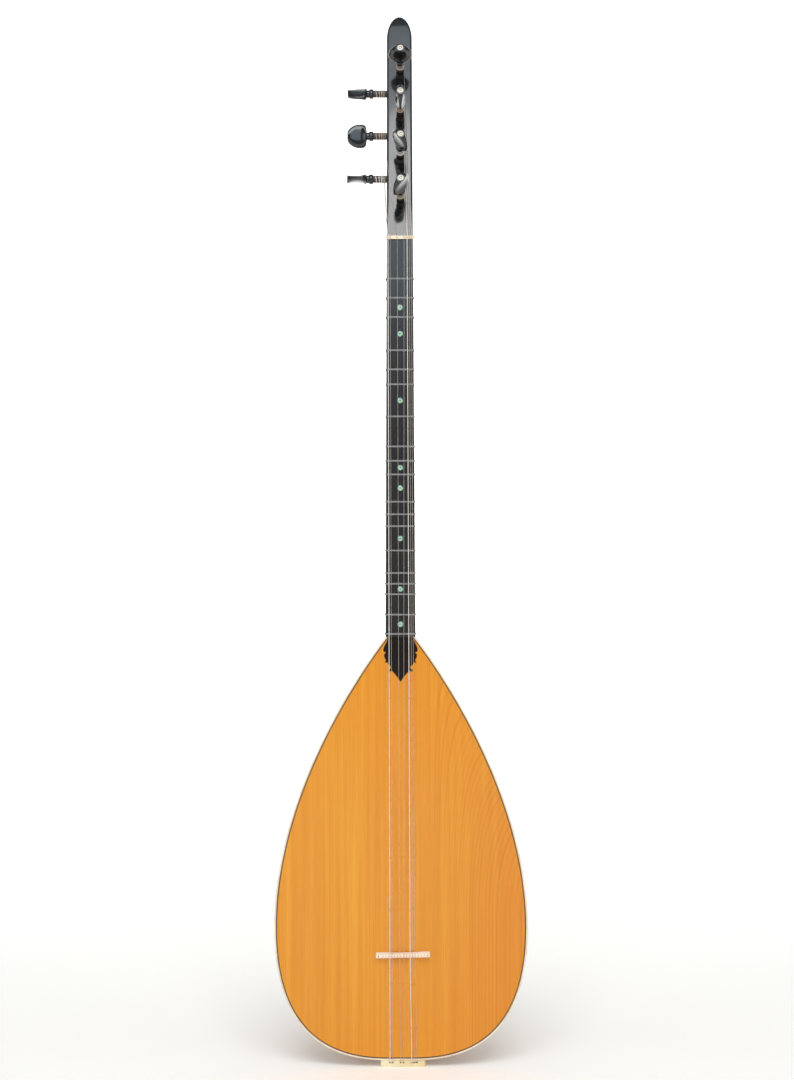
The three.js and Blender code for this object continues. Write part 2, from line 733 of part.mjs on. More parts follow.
function stringBody({ tail, bridge: overBridge, nut, radius }, index) {
  const overEdge = FACE_Y - GAP - radius - STRING_PLAY;
  const overBridgeY = FACE_Y - STRING_HEIGHT_AT_BRIDGE;
  const overNutY = FACE_Y - STRING_HEIGHT_AT_NUT;
  const halfNut = NUT_THICKNESS / 2;
  const route = new StringRoute([
    new THREE.Vector3(tail, TAILPIECE.halfDepth - 2, STRING_HOLE_Z),
    new THREE.Vector3(tail, overEdge + STRING_BEND, STRING_HOLE_Z),
    new THREE.Vector3(tail, overEdge, STRING_HOLE_Z + STRING_BEND),
    new THREE.Vector3(tail, overEdge, EDGE_BOTTOM_Z + BINDING_WIDTH),
    new THREE.Vector3(overBridge, overBridgeY, BRIDGE_Z - BRIDGE_REST),
    new THREE.Vector3(overBridge, overBridgeY, BRIDGE_Z + BRIDGE_REST),
    new THREE.Vector3(nut, overNutY, NUT_Z - halfNut),
    new THREE.Vector3(nut, overNutY, NUT_Z + halfNut),
    ...headEnd(index, radius),
  ]);
  const circle = new THREE.EllipseCurve(0, 0, radius, radius).getPoints(STRING_FACETS);
  const section = new THREE.Shape(circle.slice(1));
  return new THREE.ExtrudeGeometry(section, {
    steps: route.points.length - 1,
    extrudePath: route,
    bevelEnabled: false,
  });
}

STRINGS.forEach((string, index) => {
  addPiece(`string_${index + 1}`, stringBody(string, index), 'steel');
});

export default instrument;
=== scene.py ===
"""Looks of a short-neck baglama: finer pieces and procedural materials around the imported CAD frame.

Shapes are worked out in millimetres and scaled once, when a mesh is made. +Z runs up the neck and
the soundboard faces -Y. Every piece rides the CAD body whose node it stands for.
"""

import json
import math

import bpy
from mathutils import Matrix, Vector
from mathutils.geometry import tessellate_polygon


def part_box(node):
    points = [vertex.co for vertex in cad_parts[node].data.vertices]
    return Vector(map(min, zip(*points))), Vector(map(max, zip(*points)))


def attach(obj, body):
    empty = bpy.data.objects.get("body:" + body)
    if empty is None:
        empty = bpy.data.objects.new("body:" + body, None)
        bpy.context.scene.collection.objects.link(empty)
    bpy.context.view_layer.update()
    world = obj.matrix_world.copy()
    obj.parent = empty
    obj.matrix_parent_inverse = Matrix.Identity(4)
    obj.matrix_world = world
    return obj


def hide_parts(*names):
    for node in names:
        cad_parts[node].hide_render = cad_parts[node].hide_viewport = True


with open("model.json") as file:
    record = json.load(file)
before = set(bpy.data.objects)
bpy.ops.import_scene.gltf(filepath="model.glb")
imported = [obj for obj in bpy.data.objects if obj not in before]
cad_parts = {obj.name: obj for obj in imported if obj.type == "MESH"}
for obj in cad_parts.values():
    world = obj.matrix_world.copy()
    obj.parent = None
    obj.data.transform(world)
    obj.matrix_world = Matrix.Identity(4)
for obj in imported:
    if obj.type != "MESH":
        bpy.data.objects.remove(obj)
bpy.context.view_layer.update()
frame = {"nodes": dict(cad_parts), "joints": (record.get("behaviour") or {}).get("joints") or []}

MM = 0.001
ROOT_BODY = "instrument"


def corners(node):
    """Lowest and highest corner of a CAD node, in millimetres."""
    low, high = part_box(node)
    return low / MM, high / MM


# ---- sizes that come from the frame ----

binding_low, binding_high = corners("binding")
neck_low, neck_high = corners("neck")
fingerboard_low, fingerboard_high = corners("fingerboard")
nut_low, nut_high = corners("nut")
bridge_low, bridge_high = corners("bridge")
tailpiece_low, tailpiece_high = corners("tailpiece")

FACE_Y = binding_low.y
BOARD_BACK_Y = binding_high.y
JOINT_Z = binding_high.z
EDGE_BOTTOM_Z = binding_low.z
WIDEST_HALF = binding_high.x
NUT_Z = (nut_low.z + nut_high.z) / 2
BRIDGE_X = (bridge_low.x + bridge_high.x) / 2
BRIDGE_Z = (bridge_low.z + bridge_high.z) / 2
GAP = 0.3

# ---- sizes that repeat the CAD formulas ----

# Body outline.
JOINT_HALF = 15.2
WIDEST_Z = 138
SHOULDER_LEAN = Vector((3.5, -5))
SHOULDER_HANDLE = 149
FLANK_HANDLE = 140
TAIL_HANDLE = 28
BINDING_WIDTH = 1.8
PURFLING_WIDTH = 1.2

# Bowl.
RIM_Y = BOARD_BACK_Y + GAP
BOWL_DEPTH = 202
BOWL_WALL = 3
SHOULDER_TAPER = 1.06
TAIL_TAPER = 1.2
STAVE_COUNT = 11
STAVE_END = 1.89
STAVE_EVENING = 0.12
SOUND_HOLE_RADIUS = 6
SOUND_HOLE_DEPTH = 90

# Neck.
NECK_HALF_AT_JOINT = 14.8
NECK_HALF_AT_NUT = 13
NECK_DEPTH_AT_JOINT = 21
NECK_DEPTH_AT_NUT = 18.5
NECK_TOP_Y = neck_low.y

# Headstock: x across, y into the wood, z up from the nut.
HEADSTOCK_LENGTH = 260.5
HEADSTOCK_HALF = 13
HEADSTOCK_THICKNESS = 20
HEADSTOCK_TIP = 28
HEADSTOCK_BLEND = 42
HEADSTOCK_STEP = 1
FRONT_EDGE_RADIUS = 2.5
BACK_EDGE_RADIUS = 6
FOOT_FRONT_RADIUS = 0.6
FOOT_BACK_RADIUS = 12.5
TIP_TURN = 0.47 * math.pi
TIP_FACE_DROP = 3
TIP_BACK_DROP = 8

# Pegs.
PEG_RADIUS = 3.5
PEG_LENGTH = 40
PEG_END_DEPTH = 0.5
PEG_X = 0.8
PEG_SPACING = 50
FRONT_PEG_START = 44.5
SIDE_PEG_START = 72
SIDE_PEG_DEPTH = 10
# Degrees from level for the front pegs and from upright for the side pegs, from the lowest up.
FRONT_PEG_TURNS = (52, -55, 90, 0)
SIDE_PEG_TURNS = (90, 0, 57)
SIDE_PEGS = len(SIDE_PEG_TURNS)

# Strings: sideways place at the tailpiece, the bridge and the nut, and radius.
PLAIN = 0.16
WOUND = 0.42
STRINGS = (
    (-11, -11, -11.7, WOUND),
    (-8.5, -8.6, -9.6, PLAIN),
    (-0.7, -1.5, -2.5, PLAIN),
    (2.3, 2.6, 4.2, PLAIN),
    (10.4, 8.9, 7.2, WOUND),
    (13.1, 11.5, 9.3, PLAIN),
    (15.6, 13.5, 11.3, PLAIN),
)
STRING_HOLE_Z = 4.6
STRING_HOLE_RADIUS = 0.9
STRING_HEIGHT_AT_NUT = 1.9
EDGE_CROSSINGS = (22, 34, 95)
SIDE_WINDING_START = 2.5
FRONT_WINDING_START = 4.0

# ---- sizes that only the finer pieces have ----

# Play between the strips of the soundboard's edge, and between staves.
STRIP_PLAY = 0.04
SEAM_PLAY = 0.05
# Depth and half width of the groove along each seam of the bowl.
SEAM_GROOVE = 0.2
SEAM_GROOVE_HALF = 0.45
# How much further in the grain of one stave's wood lies from the last.
STAVE_GRAIN_STEP = (60, 30, 90)
# Rounding of the headstock's tip.
TIP_ROUNDING = 1.1
# How far the leaf stands out of the soundboard.
LEAF_HEIGHT = 0.05
# How far a tool that cuts a hole reaches past the wood.
HOLE_OVERRUN = 10


# ---- meshes ----


class Shape:
    """Points and faces of one piece, with the place of each point in its wood grain."""

    def __init__(self):
        self.points = []
        self.faces = []
        self.grain = []

    def add(self, points, faces, grain=None):
        start = len(self.points)
        self.points.extend(Vector(point) for point in points)
        self.faces.extend([index + start for index in face] for face in faces)
        self.grain.extend(grain or points)
        return self

    def moved(self, matrix):
        self.points = [matrix @ point for point in self.points]
        return self


def loft(rings, grain=None, closed=False):
    """One body through rings with the same number of points. closed joins the last ring to the first."""
    count = len(rings[0])
    total = len(rings)
    faces = []
    for level in range(total if closed else total - 1):
        here, there = level * count, (level + 1) % total * count
        for index in range(count):
            after = (index + 1) % count
            faces.append([here + index, here + after, there + after, there + index])
    if not closed:
        faces.append(list(range(count))[::-1])
        faces.append([(total - 1) * count + index for index in range(count)])
    points = [point for ring in rings for point in ring]
    flat_grain = [place for ring in grain for place in ring] if grain else None
    return Shape().add(points, faces, flat_grain)


def plate(outline, front_y, back_y, holes=()):
    """A plate drawn in the X-Z plane between two depths."""
    loops = [list(outline), *[list(hole) for hole in holes]]
    flat = [Vector((x, z, 0)) for loop in loops for x, z in loop]
    triangles = tessellate_polygon([[Vector((x, z, 0)) for x, z in loop] for loop in loops])
    count = len(flat)
    points = [(p.x, front_y, p.y) for p in flat] + [(p.x, back_y, p.y) for p in flat]
    faces = [list(triangle) for triangle in triangles]
    faces += [[index + count for index in triangle[::-1]] for triangle in triangles]
    start = 0
    for loop in loops:
        for index in range(len(loop)):
            a, b = start + index, start + (index + 1) % len(loop)
            faces.append([a, a + count, b + count, b])
        start += len(loop)
    return Shape().add(points, faces)


def tube(path, radius, sides=8, closed=False):
    """A round tube along a path, whose sections turn as little as they can."""
    path = [Vector(point) for point in path]
    total = len(path)
    normal = None
    rings, grain = [], []
    along = 0
    for index, point in enumerate(path):
        before = path[index - 1] if closed or index else point
        after = path[(index + 1) % total] if closed or index < total - 1 else point
        tangent = (after - before).normalized()
        if normal is None:
            normal = tangent.orthogonal()
        normal = (normal - tangent * normal.dot(tangent)).normalized()
        across = tangent.cross(normal)
        angles = [2 * math.pi * side / sides for side in range(sides)]
        rings.append([point + radius * (math.cos(a) * normal + math.sin(a) * across) for a in angles])
        grain.append([(radius * a, 0, along) for a in angles])
        along += (after - point).length
    if closed:
        rings = even_twist(rings)
    return loft(rings, grain, closed)


def even_twist(rings):
    """Turns the rings of a closed tube so that the last one meets the first with the least twist."""
    first, last = rings[0], rings[-1]
    count = len(first)
    best = min(range(count), key=lambda turn: (last[turn] - first[0]).length)
    turned = []
    for index, ring in enumerate(rings):
        shift = round(best * index / len(rings))
        turned.append(ring[shift:] + ring[:shift])
    return turned


def round_section(half_width, half_thickness, squareness, z, sides):
    """A level ring: an ellipse at squareness 2, and nearer to a rectangle above that."""
    ring = []
    for side in range(sides):
        angle = 2 * math.pi * side / sides
        cosine, sine = math.cos(angle), math.sin(angle)
        ring.append(Vector((
            half_width * math.copysign(abs(cosine) ** (2 / squareness), cosine),
            half_thickness * math.copysign(abs(sine) ** (2 / squareness), sine),
            z,
        )))
    return ring


def disc(radius, thickness, place, sides=32):
    """A slightly domed disc that faces +Z of the frame it is placed in."""
    profile = ((0, 1.0), (0.65, 1.0), (0.9, 0.93), (1.0, 0.6), (1.08, 0.02))
    rings = [
        round_section(radius * share, radius * share, 2, thickness * height, sides)
        for height, share in profile
    ]
    return loft(rings).moved(place)


def rounded_corner(x, y, radius, start, steps):
    """Points over a quarter turn round x, y from the angle start, in degrees."""
    angles = [math.radians(start + 90 * step / steps) for step in range(steps + 1)]
    return [(x + radius * math.cos(angle), y + radius * math.sin(angle)) for angle in angles]


def upright_bar(section, low_z, high_z):
    return loft([[Vector((x, y, z)) for x, y in section] for z in (low_z, high_z)])


def joined(shapes):
    whole = Shape()
    for shape in shapes:
        whole.add(shape.points, shape.faces, shape.grain)
    return whole


def add_object(name, data):
    made = bpy.data.objects.new(name, data)
    bpy.context.scene.collection.objects.link(made)
    return made


def round_edges(piece, width, angle, segments, harden):
    """Rounds the edges that turn by more than the angle, in degrees."""
    rounding = piece.modifiers.new("rounded_edges", "BEVEL")
    rounding.width = width * MM
    rounding.segments = segments
    rounding.limit_method = "ANGLE"
    rounding.angle_limit = math.radians(angle)
    rounding.harden_normals = harden


def finish_piece(name, shape, surface, body, node=None, slot=None, sharp=35, bevel=0):
    """Makes the mesh object of one piece and lets it ride its body."""
    mesh = bpy.data.meshes.new(name)
    mesh.from_pydata([point * MM for point in shape.points], [], shape.faces)
    mesh.validate()
    grain = mesh.attributes.new("grain", "FLOAT_VECTOR", "POINT")
    grain.data.foreach_set("vector", [value * MM for place in shape.grain for value in place])
    mesh.materials.append(surface)
    mesh.shade_smooth()
    mesh.set_sharp_from_angle(angle=math.radians(sharp))
    piece = add_object(name, mesh)
    if bevel:
        round_edges(piece, bevel, sharp, 3, True)
    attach(piece, body)
    if node:
        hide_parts(node)
    return piece


def stand_in(node, shape, surface, slot, body=ROOT_BODY, **finish):
    """Makes the finer piece that replaces a CAD node."""
    return finish_piece(f"{node}_finished", shape, surface, body, node, slot, **finish)


def bezier(points, t):
    """Place and direction at t on a cubic curve with four points."""
    a, b, c, d = points
    s = 1 - t
    place = s**3 * a + 3 * s * s * t * b + 3 * s * t * t * c + t**3 * d
    direction = s * s * (b - a) + 2 * s * t * (c - b) + t * t * (d - c)
    return place, direction.normalized()


def blend(a, b, share):
    return a + (b - a) * share


def ease(share):
    return share * share * (3 - 2 * share)


# ---- materials ----


def colour(red, green, blue):
    """A colour given as display values from 0 to 255, as the linear values that shaders take."""
    def linear(value):
        value /= 255
        return value / 12.92 if value <= 0.04045 else ((value + 0.055) / 1.055) ** 2.4
    return (linear(red), linear(green), linear(blue), 1)


class Surface:
    """A material that is built by short calls that return sockets."""

    def __init__(self, name, roughness, **sockets):
        self.material = bpy.data.materials.new(name)
        self.material.use_nodes = True
        self.tree = self.material.node_tree
        self.shader = self.tree.nodes["Principled BSDF"]
        self.shader.inputs["Roughness"].default_value = roughness
        for socket, value in sockets.items():
            self.shader.inputs[socket.replace("_", " ")].default_value = value

    def node(self, kind, inputs, **settings):
        made = self.tree.nodes.new(f"ShaderNode{kind}")
        for key, value in settings.items():
            setattr(made, key, value)
        for key, value in inputs.items():
            if isinstance(value, bpy.types.NodeSocket):
                self.tree.links.new(value, made.inputs[key])
            else:
                made.inputs[key].default_value = value
        return made

    def object_place(self):
        return self.node("TexCoord", {}).outputs["Object"]

    def grain_place(self):
        return self.node("Attribute", {}, attribute_name="grain").outputs["Vector"]

    def scaled(self, place, x, y, z):
        return self.node("Mapping", {"Vector": place, "Scale": (x, y, z)}).outputs[0]

    def shifted(self, place, by, amount):
        """A place moved by a colour's distance from mid grey, times amount."""
        centred = self.node(
            "VectorMath", {0: by, 1: (0.5, 0.5, 0.5)}, operation="SUBTRACT"
        ).outputs[0]
        return self.node(
            "VectorMath", {0: centred, 1: amount, 2: place}, operation="MULTIPLY_ADD"
        ).outputs[0]

    def noise(self, place, scale, detail=3.0, roughness=0.5, kind="Fac"):
        return self.node(
            "TexNoise",
            {"Vector": place, "Scale": scale, "Detail": detail, "Roughness": roughness},
        ).outputs[kind]

    def math(self, operation, first, second=0.0, third=0.0):
        return self.node(
            "Math", {0: first, 1: second, 2: third}, operation=operation
        ).outputs[0]

    def spread(self, value, low, high, start=0.0, end=1.0):
        return self.node(
            "MapRange",
            {"Value": value, "From Min": low, "From Max": high, "To Min": start, "To Max": end},
        ).outputs[0]

    def ramp(self, value, stops):
        made = self.node("ValToRGB", {"Fac": value})
        band = made.color_ramp
        while len(band.elements) < len(stops):
            band.elements.new(0.5)
        for element, (position, shade) in zip(band.elements, stops):
            element.position = position
            element.color = shade
        return made.outputs["Color"]

    def mix(self, share, first, second, how="MIX"):
        made = self.node("Mix", {0: share}, data_type="RGBA", blend_type=how)
        for socket, value in ((made.inputs[6], first), (made.inputs[7], second)):
            if isinstance(value, bpy.types.NodeSocket):
                self.tree.links.new(value, socket)
            else:
                socket.default_value = value
        return made.outputs[2]

    def split(self, place):
        return self.node("SeparateXYZ", {"Vector": place}).outputs

    def finish(self, base, rough, height, bump, depth):
        """Joins colour, roughness and bump to the shader. depth is the bump's height in mm."""
        relief = self.node(
            "Bump", {"Strength": bump, "Distance": depth * MM, "Height": height}
        )
        self.tree.links.new(base, self.shader.inputs["Base Color"])
        self.tree.links.new(rough, self.shader.inputs["Roughness"])
        self.tree.links.new(relief.outputs[0], self.shader.inputs["Normal"])
        return self.material


def per_mm(spacing):
    """Texture scale at which a pattern repeats about every so many millimetres."""
    return 1 / (spacing * MM)


def spruce_surface():
    """Quarter-sawn top: narrow year rings that widen and darken to the right, under a thin gloss."""
    look = Surface("spruce", 0.22, Specular_IOR_Level=0.4, Coat_Weight=0.1, Coat_Roughness=0.1)
    place = look.object_place()
    wander = look.noise(look.scaled(place, 6, 6, 1.6), 1.0, 2.0, kind="Color")
    place = look.shifted(place, wander, (0.006, 0, 0))
    x, _, z = look.split(place)
    right = look.math("MAXIMUM", look.math("SUBTRACT", x, 0.03))
    bow = look.math("POWER", look.math("MAXIMUM", look.math("SUBTRACT", z, 0.15)), 2.0)
    bent = look.math("MULTIPLY_ADD", look.math("MULTIPLY", right, bow), -13.0, x)
    slower = look.math("MULTIPLY", look.math("POWER", right, 2.0), -1800.0)
    rings = look.math("MULTIPLY_ADD", bent, 480.0, slower)
    phase = look.math("FRACT", rings)
    late = look.math("POWER", phase, 3.0)
    ring_shade = look.node(
        "TexWhiteNoise", {"W": look.math("FLOOR", rings)}, noise_dimensions="1D"
    ).outputs["Value"]
    late = look.math("MULTIPLY", late, look.spread(ring_shade, 0, 1, 0.25, 1.0))
    late = look.math("MULTIPLY", late, look.spread(x, 0.02, 0.1, 0.55, 1.0))
    streaks = look.noise(look.scaled(place, per_mm(5), 1, 3.0), 1.0, 3.0, 0.6)
    broad = look.noise(look.scaled(place, 14, 1, 2.2), 1.0, 2.0)
    fibres = look.noise(look.scaled(place, per_mm(0.5), per_mm(1), per_mm(18)), 1.0, 3.0)
    body = look.ramp(streaks, [
        (0.3, colour(222, 138, 30)), (0.5, colour(229, 150, 36)), (0.7, colour(235, 161, 44)),
    ])
    body = look.mix(look.spread(broad, 0.35, 0.65, 0, 0.45), body, colour(226, 135, 34))
    body = look.mix(look.spread(x, 0.03, 0.12, 0, 0.4), body, colour(218, 128, 34))
    body = look.mix(look.math("MULTIPLY", late, 0.8), body, colour(196, 102, 16))
    body = look.mix(look.spread(fibres, 0.45, 0.75, 0, 0.3), body, colour(206, 116, 22))
    height = look.math("MULTIPLY_ADD", fibres, 0.3, look.math("MULTIPLY", late, 0.7))
    return look.finish(body, look.spread(fibres, 0, 1, 0.18, 0.28), height, 0.25, 0.04)


def wood_surface(name, place_of, light, dark, figure, pore, roughness, gloss, shine=0.5):
    """A clear-finished wood. figure and pore are the widths of its bands and of its pores, in mm."""
    look = Surface(name, roughness, Specular_IOR_Level=shine, Coat_Weight=gloss, Coat_Roughness=0.08)
    light, dark = colour(*light), colour(*dark)
    pore_shade = tuple(0.4 * part for part in dark[:3]) + (1,)
    place = look.grain_place() if place_of == "grain" else look.object_place()
    wander = look.noise(look.scaled(place, 9, 9, 2.5), 1.0, 2.0, kind="Color")
    place = look.shifted(place, wander, (0.016, 0.016, 0))
    bands = look.noise(look.scaled(place, per_mm(figure), per_mm(figure), 5), 1.0, 4.0, 0.62)
    lines = look.noise(look.scaled(place, per_mm(figure / 4), per_mm(figure / 4), 9), 1.0, 2.0)
    pores = look.noise(look.scaled(place, per_mm(pore), per_mm(pore), per_mm(14)), 1.0, 3.0, 0.7)
    share = look.math("MULTIPLY_ADD", lines, 0.45, look.math("MULTIPLY", bands, 0.6))
    share = look.spread(share, 0.3, 0.72)
    base = look.ramp(share, [(0.0, dark), (0.5, light), (1.0, dark)])
    base = look.mix(look.spread(pores, 0.56, 0.7, 0, 0.7), base, pore_shade)
    rough = look.spread(pores, 0.3, 0.8, roughness * 0.85, roughness * 1.5)
    return look.finish(base, rough, look.math("SUBTRACT", 1.0, pores), 0.2, 0.06)


def lacquer_surface(name, shade, roughness, streak_depth):
    """Black lacquer over wood: a mirror whose picture is drawn out by the grain beneath."""
    look = Surface(name, roughness, Specular_IOR_Level=0.5, Coat_Weight=0.9, Coat_Roughness=0.05)
    place = look.object_place()
    long_grain = look.noise(look.scaled(place, per_mm(2.6), per_mm(2.6), 9), 1.0, 3.0)
    handling = look.noise(place, 45.0, 4.0, 0.6)
    brown = look.spread(long_grain, 0.5, 0.75, 0, 0.5)
    base = look.mix(brown, shade, colour(46, 32, 28))
    rough = look.spread(handling, 0.3, 0.8, roughness * 0.7, roughness * 1.6)
    return look.finish(base, rough, long_grain, 0.05, streak_depth)


def bone_surface(name, light, dark, roughness):
    """Cream bone or pale wood with faint long lines."""
    look = Surface(name, roughness, Subsurface_Weight=0.08, Subsurface_Scale=0.002)
    light, dark = colour(*light), colour(*dark)
    place = look.object_place()
    clouds = look.noise(place, 60.0, 3.0)
    lines = look.noise(look.scaled(place, per_mm(3), per_mm(3), per_mm(0.35)), 1.0, 2.0)
    base = look.mix(look.spread(clouds, 0.35, 0.7), light, dark)
    base = look.mix(look.spread(lines, 0.5, 0.75, 0, 0.3), base, dark)
    rough = look.spread(lines, 0.2, 0.8, roughness * 0.8, roughness * 1.3)
    return look.finish(base, rough, lines, 0.15, 0.04)


def shell_surface(name, stops, twist):
    """Polished shell whose layers curl round the middle of each dot. twist is how far they wander."""
    look = Surface(name, 0.16, Coat_Weight=0.3, Coat_Roughness=0.06)
    swirl = look.noise(look.object_place(), per_mm(2.6), 2.0, kind="Color")
    place = look.shifted(look.grain_place(), swirl, (twist * MM, twist * MM, 0))
    reach = look.node("VectorMath", {0: place}, operation="LENGTH").outputs["Value"]
    layers = look.spread(reach, 0, 3 * MM)
    base = look.ramp(layers, [(position, colour(*shade)) for position, shade in stops])
    return look.finish(base, look.spread(layers, 0, 1, 0.08, 0.2), layers, 0.1, 0.05)


# Width of one band of Blender's wave texture at scale 1.
WAVE_PERIOD = 2 * math.pi / 20


def string_surface(name, shade, turn_width):
    """Bright metal string. turn_width is the width of one band of its winding in mm, or 0 if plain."""
    look = Surface(name, 0.28, Metallic=0.4)
    place = look.grain_place()
    tarnish = look.noise(place, per_mm(18), 3.0)
    base = look.mix(look.spread(tarnish, 0.4, 0.7, 0, 0.35), shade, colour(176, 158, 140))
    rough = look.spread(tarnish, 0.3, 0.7, 0.2, 0.38)
    if not turn_width:
        return look.finish(base, rough, look.noise(place, per_mm(0.2), 2.0), 0.1, 0.01)
    turns = look.node(
        "TexWave",
        {"Vector": place, "Scale": WAVE_PERIOD * per_mm(turn_width), "Detail": 0.0},
        bands_direction="Z",
    ).outputs["Fac"]
    # Darker between the turns of the winding: painted shade in the grooves.
    base = look.mix(look.spread(turns, 0.3, 0, 0, 0.5), base, colour(92, 80, 70))
    return look.finish(base, rough, turns, 0.6, 0.06)


def nylon_surface():
    """Clear grey line of the tied frets."""
    look = Surface("nylon", 0.3, Specular_IOR_Level=0.6)
    place = look.grain_place()
    tint = look.noise(place, per_mm(6), 2.0)
    base = look.mix(look.spread(tint, 0.35, 0.7), colour(152, 148, 146), colour(112, 110, 112))
    return look.finish(base, look.spread(tint, 0.3, 0.7, 0.24, 0.4), tint, 0.1, 0.02)


def backdrop_surface():
    """White paper that glows a little, and more behind the object, where the lamps hardly reach. Near
    the object the glow is warm: painted beige light in the shadow beneath the body.
    """
    look = Surface("backdrop", 0.9, Emission_Strength=1.0)
    place = look.object_place()
    paper = look.noise(place, 300.0, 3.0)
    base = look.mix(paper, colour(250, 248, 245), colour(247, 244, 240))
    _, y, _ = look.split(place)
    # Warm glow near the object: painted beige light in the shadow beneath the body.
    glow = look.mix(look.spread(y, 0.1, 3.0), (0.2, 0.165, 0.13, 1), (0.82, 0.82, 0.82, 1))
    look.tree.links.new(glow, look.shader.inputs["Emission Color"])
    return look.finish(base, look.spread(paper, 0.3, 0.7, 0.85, 0.95), paper, 0.05, 0.05)


spruce = spruce_surface()
walnut = wood_surface("walnut", "grain", (122, 74, 42), (70, 38, 22), 7, 0.7, 0.26, 0.6)
maple = wood_surface("maple", "object", (222, 196, 154), (196, 164, 118), 5, 0.5, 0.5, 0.0)
rosewood = wood_surface("rosewood", "object", (58, 34, 26), (26, 16, 13), 4, 0.6, 0.25, 0.5)
purfling_wood = wood_surface("purfling_wood", "object", (98, 64, 42), (60, 38, 26), 3, 0.5, 0.3, 0.0)
ebony = wood_surface("ebony", "object", (34, 27, 27), (14, 11, 12), 3, 0.45, 0.2, 0.35)
leaf_ebony = wood_surface("leaf_ebony", "object", (28, 18, 17), (13, 9, 9), 2.4, 0.4, 0.2, 0.0, 0.25)
peg_ebony = wood_surface("peg_ebony", "object", (22, 20, 21), (10, 9, 10), 2, 0.35, 0.14, 0.5)
shaft_wood = wood_surface("shaft_wood", "object", (72, 52, 42), (36, 26, 22), 2, 0.35, 0.4, 0.1)
lacquer = lacquer_surface("lacquer", colour(14, 16, 20), 0.14, 0.02)
bone = bone_surface("bone", (244, 228, 204), (226, 204, 172), 0.35)
boxwood = bone_surface("boxwood", (255, 236, 214), (248, 218, 190), 0.45)
tail_maple = bone_surface("tail_maple", (246, 230, 190), (232, 208, 160), 0.4)
abalone = shell_surface("abalone", (
    (0.1, (44, 66, 52)), (0.26, (116, 150, 108)), (0.42, (222, 234, 204)),
    (0.56, (112, 176, 150)), (0.74, (176, 206, 176)), (0.9, (84, 128, 116)),
), 4.0)
pearl = shell_surface("pearl", (
    (0.1, (70, 58, 48)), (0.2, (208, 198, 176)), (0.34, (212, 202, 180)),
    (0.43, (58, 48, 40)), (0.52, (64, 54, 46)), (0.62, (216, 208, 188)),
), 3.0)
wound_metal = string_surface("wound_metal", colour(255, 246, 234), 1.885)
plain_metal = string_surface("plain_metal", colour(218, 198, 176), 0)
nylon = nylon_surface()


# ---- body outline ----

widest = Vector((WIDEST_HALF, WIDEST_Z))
shoulder_curve = (
    Vector((JOINT_HALF, JOINT_Z)),
    Vector((JOINT_HALF, JOINT_Z)) + SHOULDER_LEAN,
    widest + Vector((0, SHOULDER_HANDLE)),
    widest,
)
flank_curve = (
    widest,
    widest - Vector((0, FLANK_HANDLE)),
    Vector((TAIL_HANDLE, EDGE_BOTTOM_Z)),
    Vector((0, EDGE_BOTTOM_Z)),
)


def edge(place):
    """Place and direction on the right edge, from the joint (0) past the widest (1) to the tail (2)."""
    return bezier(shoulder_curve, place) if place <= 1 else bezier(flank_curve, place - 1)


def inset_edge(place, inset):
    point, direction = edge(place)
    return point + inset * Vector((direction.y, -direction.x))


def outline(inset, steps=160):
    """The whole edge from the right of the joint round the tail to the left of the joint."""
    right = [inset_edge(2 * step / steps, inset) for step in range(steps + 1)]
    first, second = right[0], right[1]
    right[0] = first + (first - second) * (JOINT_Z - first.y) / (first.y - second.y)
    left = [Vector((-point.x, point.y)) for point in right[-2::-1]]
    return right + left


def edge_strip(section):
    """A strip let into the edge. section holds the inset and the depth of each of its corners."""
    lines = [outline(inset) for inset, _ in section]
    rings = []
    for index in range(len(lines[0])):
        rings.append([
            Vector((line[index].x, y, line[index].y)) for line, (_, y) in zip(lines, section)
        ])
    return loft(rings)


def make_edge_strips():
    front, back = FACE_Y, BOARD_BACK_Y
    inner = BINDING_WIDTH - STRIP_PLAY
    binding = edge_strip([
        (inner, front), (0.5, front), (0.15, front + 0.15), (0, front + 0.5), (0, back), (inner, back),
    ])
    stand_in("binding", binding, bone, "bone")
    outer = BINDING_WIDTH
    inner = BINDING_WIDTH + PURFLING_WIDTH - STRIP_PLAY
    purfling = edge_strip([(inner, front), (outer, front), (outer, back), (inner, back)])
    stand_in("purfling", purfling, purfling_wood, "rosewood")


# ---- soundboard and leaf ----

# Right half of the leaf: sideways place and distance below the joint.
LEAF_EDGE = (
    (11.8, 0), (14.1, 5), (16.3, 9.4), (17.2, 12.6), (16.4, 14.5), (14.6, 14.9), (15, 15.9),
    (16.4, 17.2), (15.9, 20.4), (14.4, 22.6), (15.7, 25.4), (13, 24.9), (12.1, 27.5), (9.5, 29),
    (10.2, 31.2), (12.3, 32.4), (11.5, 34.4), (8.5, 33.2), (5.2, 37), (2.2, 40.8), (0, 44.3),
)


def leaf_outline(grow):
    """The leaf's edge, with a play round it that is grown square to the edge."""
    right = [Vector((x, JOINT_Z - down)) for x, down in LEAF_EDGE]
    loop = right + [Vector((-point.x, point.y)) for point in right[-2::-1]]
    grown = []
    for index, point in enumerate(loop):
        before, after = loop[index - 1], loop[(index + 1) % len(loop)]
        direction = (after - point).normalized() + (point - before).normalized()
        if direction.length < 0.1:
            direction = after - point
        direction.normalize()
        grown.append(point + grow * Vector((-direction.y, direction.x)))
    return grown


def make_soundboard():
    inset = BINDING_WIDTH + PURFLING_WIDTH
    open_at_joint = outline(inset) + leaf_outline(-STRIP_PLAY)[::-1]
    board = plate(open_at_joint, FACE_Y, BOARD_BACK_Y)
    stand_in("soundboard", board, spruce, "spruce")
    leaf = plate(leaf_outline(0), FACE_Y - LEAF_HEIGHT, BOARD_BACK_Y)
    stand_in("inlay_leaf", leaf, leaf_ebony, "ebony")


# ---- bowl ----


def bowl_depth(place):
    taper = SHOULDER_TAPER if place <= 1 else TAIL_TAPER
    return BOWL_DEPTH * (edge(place)[0].x / WIDEST_HALF) ** taper


